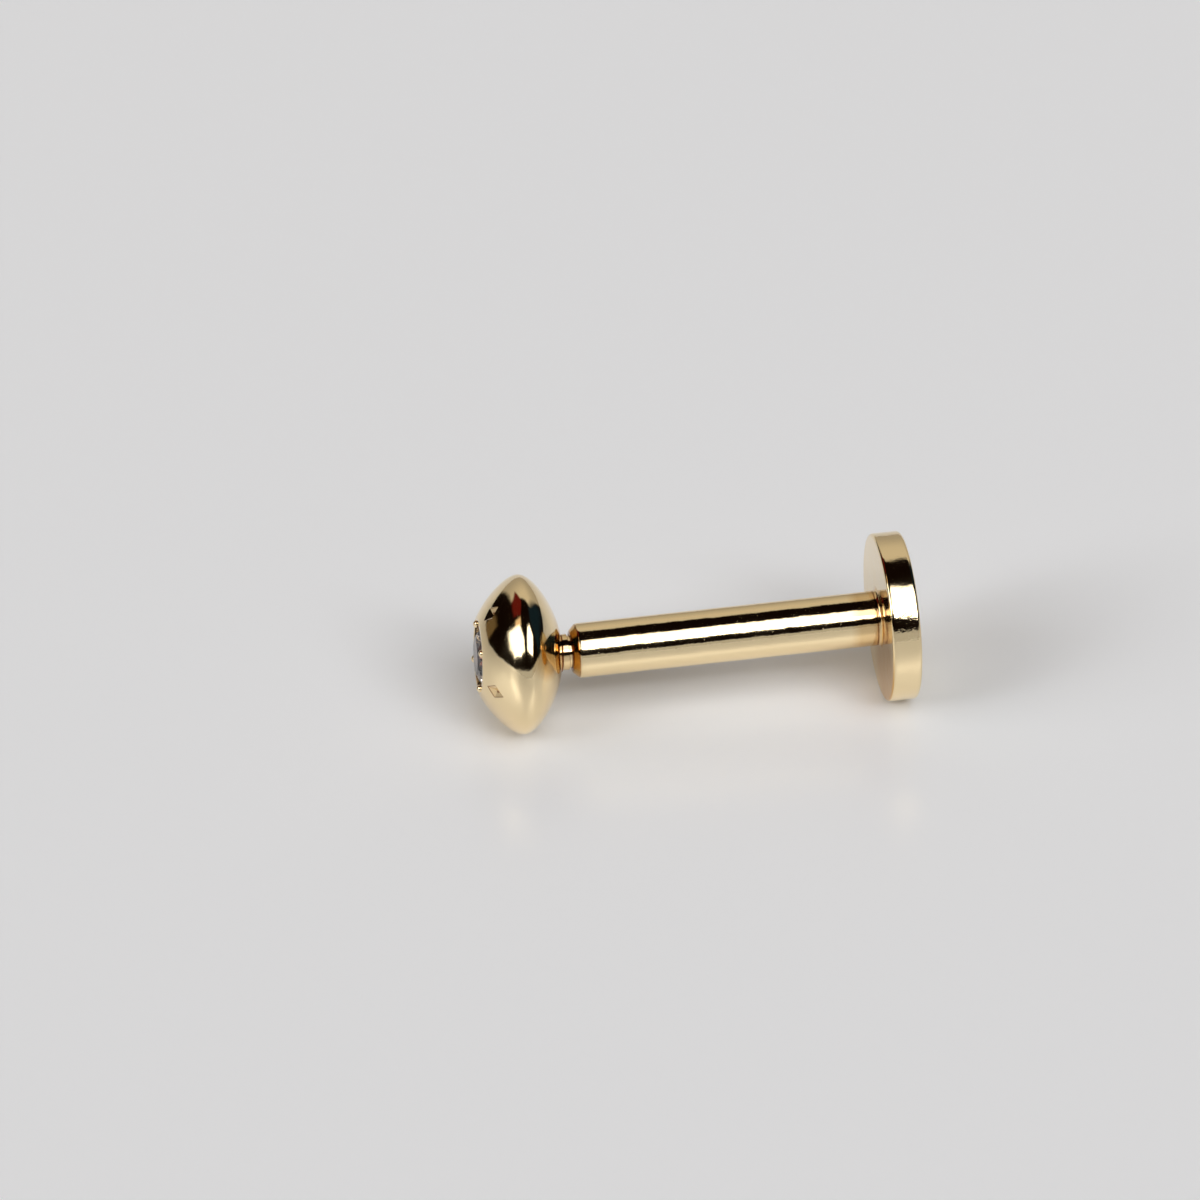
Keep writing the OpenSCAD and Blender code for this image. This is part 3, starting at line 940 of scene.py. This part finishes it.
def light_the_room(studio):
    """A dark room with a pale sheet behind the stud, two windows and a few dim cards"""
    world = bpy.data.worlds.new("room")
    world.use_nodes = True
    world.node_tree.nodes.clear()
    b = Builder(world.node_tree)
    ray = b.add("ShaderNodeSeparateXYZ", b.add("ShaderNodeTexCoord").outputs["Generated"])
    down = b.math("DIVIDE", b.math("ARCCOSINE", ray.outputs[2]), math.pi / 2)
    level = b.add("ShaderNodeCombineXYZ", ray.outputs[0], b.math("MULTIPLY", ray.outputs[1], -1.0))
    scale = b.add("ShaderNodeVectorMath", b.vector("NORMALIZE", level.outputs[0]),
                  operation="SCALE")
    b.feed(scale.inputs["Scale"], down)
    place = b.vector("ADD", scale.outputs[0], (0, 0, 1))
    backdrop = Vector(studio.backdrop)
    rising = b.laid_over((*backdrop, 1), (*(BACKDROP_LOW * backdrop), 1),
                         b.smooth(down, *BACKDROP_FADE))
    own = {BACKDROP: rising, WINDOW: (*[studio.windows] * 3, 1),
           HEART: (*[studio.hearts] * 3, 1)}
    sides = b.add("ShaderNodeSeparateXYZ", place)
    to_side, to_near = TABLE_SLOPES
    fall = b.math("ADD", b.math("MULTIPLY", sides.outputs[1], to_near),
                  b.math("MULTIPLY", sides.outputs[0], to_side))
    table = b.smooth(b.math("ADD", down, fall), *TABLE_EDGE)
    seen = b.laid_over((*studio.dark, 1), (*studio.table, 1), table)
    for tint, soft, corners in PANELS.values():
        mask = panel_mask(b, place, corners, soft)
        seen = b.laid_over(seen, own[tint] if tint in own else (*tint, 1), mask)
    lit = b.add("ShaderNodeBackground", seen, 1.0)
    plain = b.add("ShaderNodeBackground", (*studio.beyond, 1), 1.0)
    path = b.add("ShaderNodeLightPath").outputs["Is Camera Ray"]
    mix = b.add("ShaderNodeMixShader", path, lit.outputs[0], plain.outputs[0])
    output = b.add("ShaderNodeOutputWorld")
    b.feed(output.inputs[0], mix.outputs[0])
    bpy.context.scene.world = world


SHEET_HALF = 1.0
SHEET_ROUGHNESS = 0.28
SHEET_INDEX = 1.55


def pale_sheet(studio):
    """A smooth pale sheet with a slight gloss"""
    signs = ((-1, -1), (1, -1), (1, 1), (-1, 1))
    floor = mesh_object("pale_sheet", [(SHEET_HALF * x, SHEET_HALF * y, 0) for x, y in signs],
                        [], [(0, 1, 2, 3)])
    material, b, shader = new_material("pale_sheet")
    b.feed(shader.inputs["Base Color"], (*studio.sheet, 1))
    b.feed(shader.inputs["Roughness"], SHEET_ROUGHNESS)
    b.feed(shader.inputs["IOR"], SHEET_INDEX)
    floor.data.materials.append(material)


# The picture's width in pixels, where in it the back of the head is, and its scale
PICTURE = 1200
HEAD_BACK_PIXEL = (560, 652.5)
PIXELS_PER_METRE = 54000
# The camera's sensor, in millimetres
SENSOR = 36


def aim_camera(studio, sizes):
    """A camera that sees the back of the head at its pixel, at the picture's scale"""
    camera = bpy.data.objects.new("camera", bpy.data.cameras.new("camera"))
    bpy.context.scene.collection.objects.link(camera)
    a, e = studio.azimuth, studio.elevation
    back = Vector((math.sin(a) * math.cos(e), -math.cos(a) * math.cos(e), math.sin(e)))
    right = Vector((math.cos(a), math.sin(a), 0))
    up = back.cross(right)
    across = (PICTURE / 2 - HEAD_BACK_PIXEL[0]) / PIXELS_PER_METRE
    above = (HEAD_BACK_PIXEL[1] - PICTURE / 2) / PIXELS_PER_METRE
    distance = studio.lens / SENSOR * PICTURE / PIXELS_PER_METRE
    camera.location = head_back(sizes) + right * across + up * above + back * distance
    camera.rotation_euler = (-back).to_track_quat("-Z", "Y").to_euler()
    camera.data.lens = studio.lens
    camera.data.sensor_width = SENSOR
    camera.data.clip_start = distance / 10
    camera.data.clip_end = distance * 20
    bpy.context.scene.camera = camera


class STUD_OT_stage(Operator):
    """Lay the sheet, light the room and aim the camera"""

    bl_idname = "stud.stage"
    bl_label = "Stage"

    def execute(self, context):
        studio = context.scene.stud_studio
        aim_camera(studio, context.scene.stud_post)
        pale_sheet(studio)
        light_the_room(studio)
        context.scene.view_settings.view_transform = "Standard"
        return {"FINISHED"}


class STUD_PT_panel(Panel):
    """The stud's sizes and makers"""

    bl_label = "Labret Stud"
    bl_idname = "STUD_PT_panel"
    bl_space_type = "VIEW_3D"
    bl_region_type = "UI"
    bl_category = "Stud"

    def draw(self, context):
        for group in GROUPS:
            box = self.layout.box()
            box.label(text=group.removeprefix("stud_").title())
            values = getattr(context.scene, group)
            for name in type(values).__annotations__:
                box.prop(values, name)
        for operator in OPERATORS:
            self.layout.operator(operator.bl_idname)


GROUPS = {"stud_post": PostSizes, "stud_head": HeadSizes, "stud_finish": Finish,
          "stud_studio": Studio}
OPERATORS = (STUD_OT_stage, STUD_OT_post, STUD_OT_head, STUD_OT_stone)
CLASSES = (*GROUPS.values(), *OPERATORS, STUD_PT_panel)


def register():
    for made in CLASSES:
        bpy.utils.register_class(made)
    for name, group in GROUPS.items():
        setattr(bpy.types.Scene, name, PointerProperty(type=group))


def unregister():
    for name in GROUPS:
        delattr(bpy.types.Scene, name)
    for made in reversed(CLASSES):
        bpy.utils.unregister_class(made)


def main():
    register()
    bpy.ops.stud.stage()
    bpy.ops.stud.post()
    bpy.ops.stud.head()
    bpy.ops.stud.stone()


if __name__ == "__main__":
    main()
